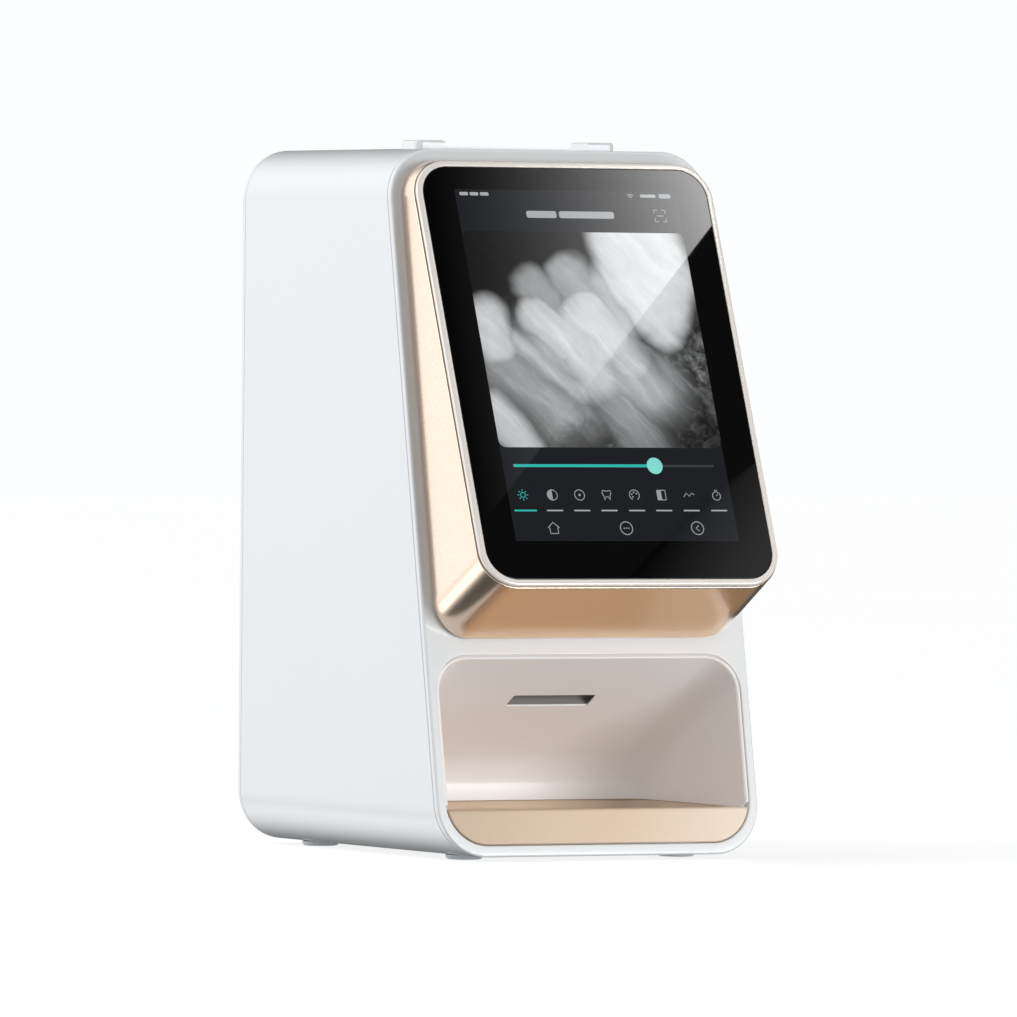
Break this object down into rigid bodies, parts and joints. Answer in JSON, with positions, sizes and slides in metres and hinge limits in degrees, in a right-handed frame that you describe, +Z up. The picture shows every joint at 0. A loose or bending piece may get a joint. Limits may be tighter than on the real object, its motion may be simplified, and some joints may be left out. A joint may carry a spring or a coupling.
{
  "type": "imaging plate scanner",
  "caption": "Desktop scanner for dental imaging plates: slanted tube case, wedge-shaped touch display head, top plate inlet and open collection bay with sliding tray.",
  "frame": {"origin": "centre of the bounding box's footprint, on the surface the feet rest on", "axes": "+X across the machine to its right as seen from the front, +Y from the front to the back, +Z up"},
  "size_m": [0.155, 0.2244, 0.308],
  "materials": {
    "white_shell": "glossy white moulding",
    "gold_shell": "champagne-gold satin paint",
    "gold_ring": "pale gold anodised",
    "bay_grey": "warm grey gloss",
    "screen_glass": "black-printed cover glass",
    "soft_black": "soft black",
    "screen_panel": "display panel",
    "board_green": "circuit board",
    "black_part": "black moulding",
    "dark_gloss": "black gloss moulding",
    "sheet_metal": "zinc-plated sheet",
    "machined": "machined",
    "ground_steel": "ground steel",
    "brass_part": "turned brass",
    "port_metal": "plated shell",
    "mirror_face": "polished facets",
    "clear_block": "clear acrylic",
    "mid_grey": "grey moulding"
  },
  "bodies": {
    "base": {"main_casing": "white_shell", "front_frame": "white_shell", "bay_liner": "bay_grey", "exit_chute": "bay_grey", "rear_cover": "white_shell", "cover_screws": "ground_steel", "rubber_feet": "soft_black", "inlet_guide": "white_shell", "flap_pin": "ground_steel", "display_housing": "gold_shell", "bezel_ring": "gold_ring", "cover_glass": "screen_glass", "lcd_panel": "screen_panel", "display_gasket": "soft_black", "display_bracket": "sheet_metal", "display_board": "board_green", "chassis_plate": "sheet_metal", "lower_block": "machined", "upper_block": "machined", "guide_rods": "ground_steel", "block_screws": "ground_steel", "stepper_motor": "black_part", "limit_sensors": "black_part", "optics_housing": "black_part", "optics_cover": "black_part", "scan_motor": "machined", "scan_lens": "clear_block", "laser_diode": "brass_part", "light_guide": "clear_block", "photomultiplier": "black_part", "erase_lamp": "mid_grey", "main_board": "board_green", "board_standoffs": "brass_part", "board_screws": "ground_steel", "board_chips": "black_part", "wireless_module": "port_metal", "heat_sink": "machined", "power_inlet": "dark_gloss", "usb_port": "port_metal", "lan_port": "port_metal", "switch_frame": "dark_gloss", "fan_frame": "black_part"},
    "tray": {"collection_tray": "gold_shell"},
    "carriage": {"plate_carriage": "black_part", "carriage_bushes": "brass_part", "lead_nut": "brass_part", "carriage_magnet": "ground_steel"},
    "screw": {"lead_screw": "ground_steel"},
    "flap": {"inlet_flap": "mid_grey"},
    "mirror": {"polygon_mirror": "mirror_face"},
    "rotor": {"fan_rotor": "black_part"},
    "rocker": {"rocker_switch": "dark_gloss"}
  },
  "joints": [
    {"name": "tray_slide", "type": "slide", "parent": "base", "child": "tray", "axis": [0, -1, 0], "range_m": [0, 0.098]},
    {"name": "carriage_slide", "type": "slide", "parent": "base", "child": "carriage", "axis": [0, -0.1857, -0.9826], "range_m": [0, 0.098]},
    {"name": "screw_spin", "type": "hinge", "parent": "base", "child": "screw", "pos_m": [0.058, -0.00658, 0.19778], "axis": [0, 0.1857, 0.9826], "range_deg": [0, 4420]},
    {"name": "flap_hinge", "type": "hinge", "parent": "base", "child": "flap", "pos_m": [0, 0.01522, 0.2948], "axis": [1, 0, 0], "range_deg": [0, 75], "stiffness_Nm_per_rad": 0.0015, "springref_deg": -28.65},
    {"name": "mirror_spin", "type": "hinge", "parent": "base", "child": "mirror", "pos_m": [-0.008, 0.03847, 0.1852], "axis": [0, 0.1857, 0.9826], "continuous": true},
    {"name": "fan_spin", "type": "hinge", "parent": "base", "child": "rotor", "pos_m": [0, 0.10436, 0.27], "axis": [0, 1, 0], "continuous": true},
    {"name": "rocker_tilt", "type": "hinge", "parent": "base", "child": "rocker", "pos_m": [0.046, 0.10736, 0.024], "axis": [1, 0, 0], "range_deg": [0, 16]}
  ],
  "couplings": [
    {"joint": "screw_spin", "follows": "carriage_slide", "rad_per_m": 785.4}
  ]
}
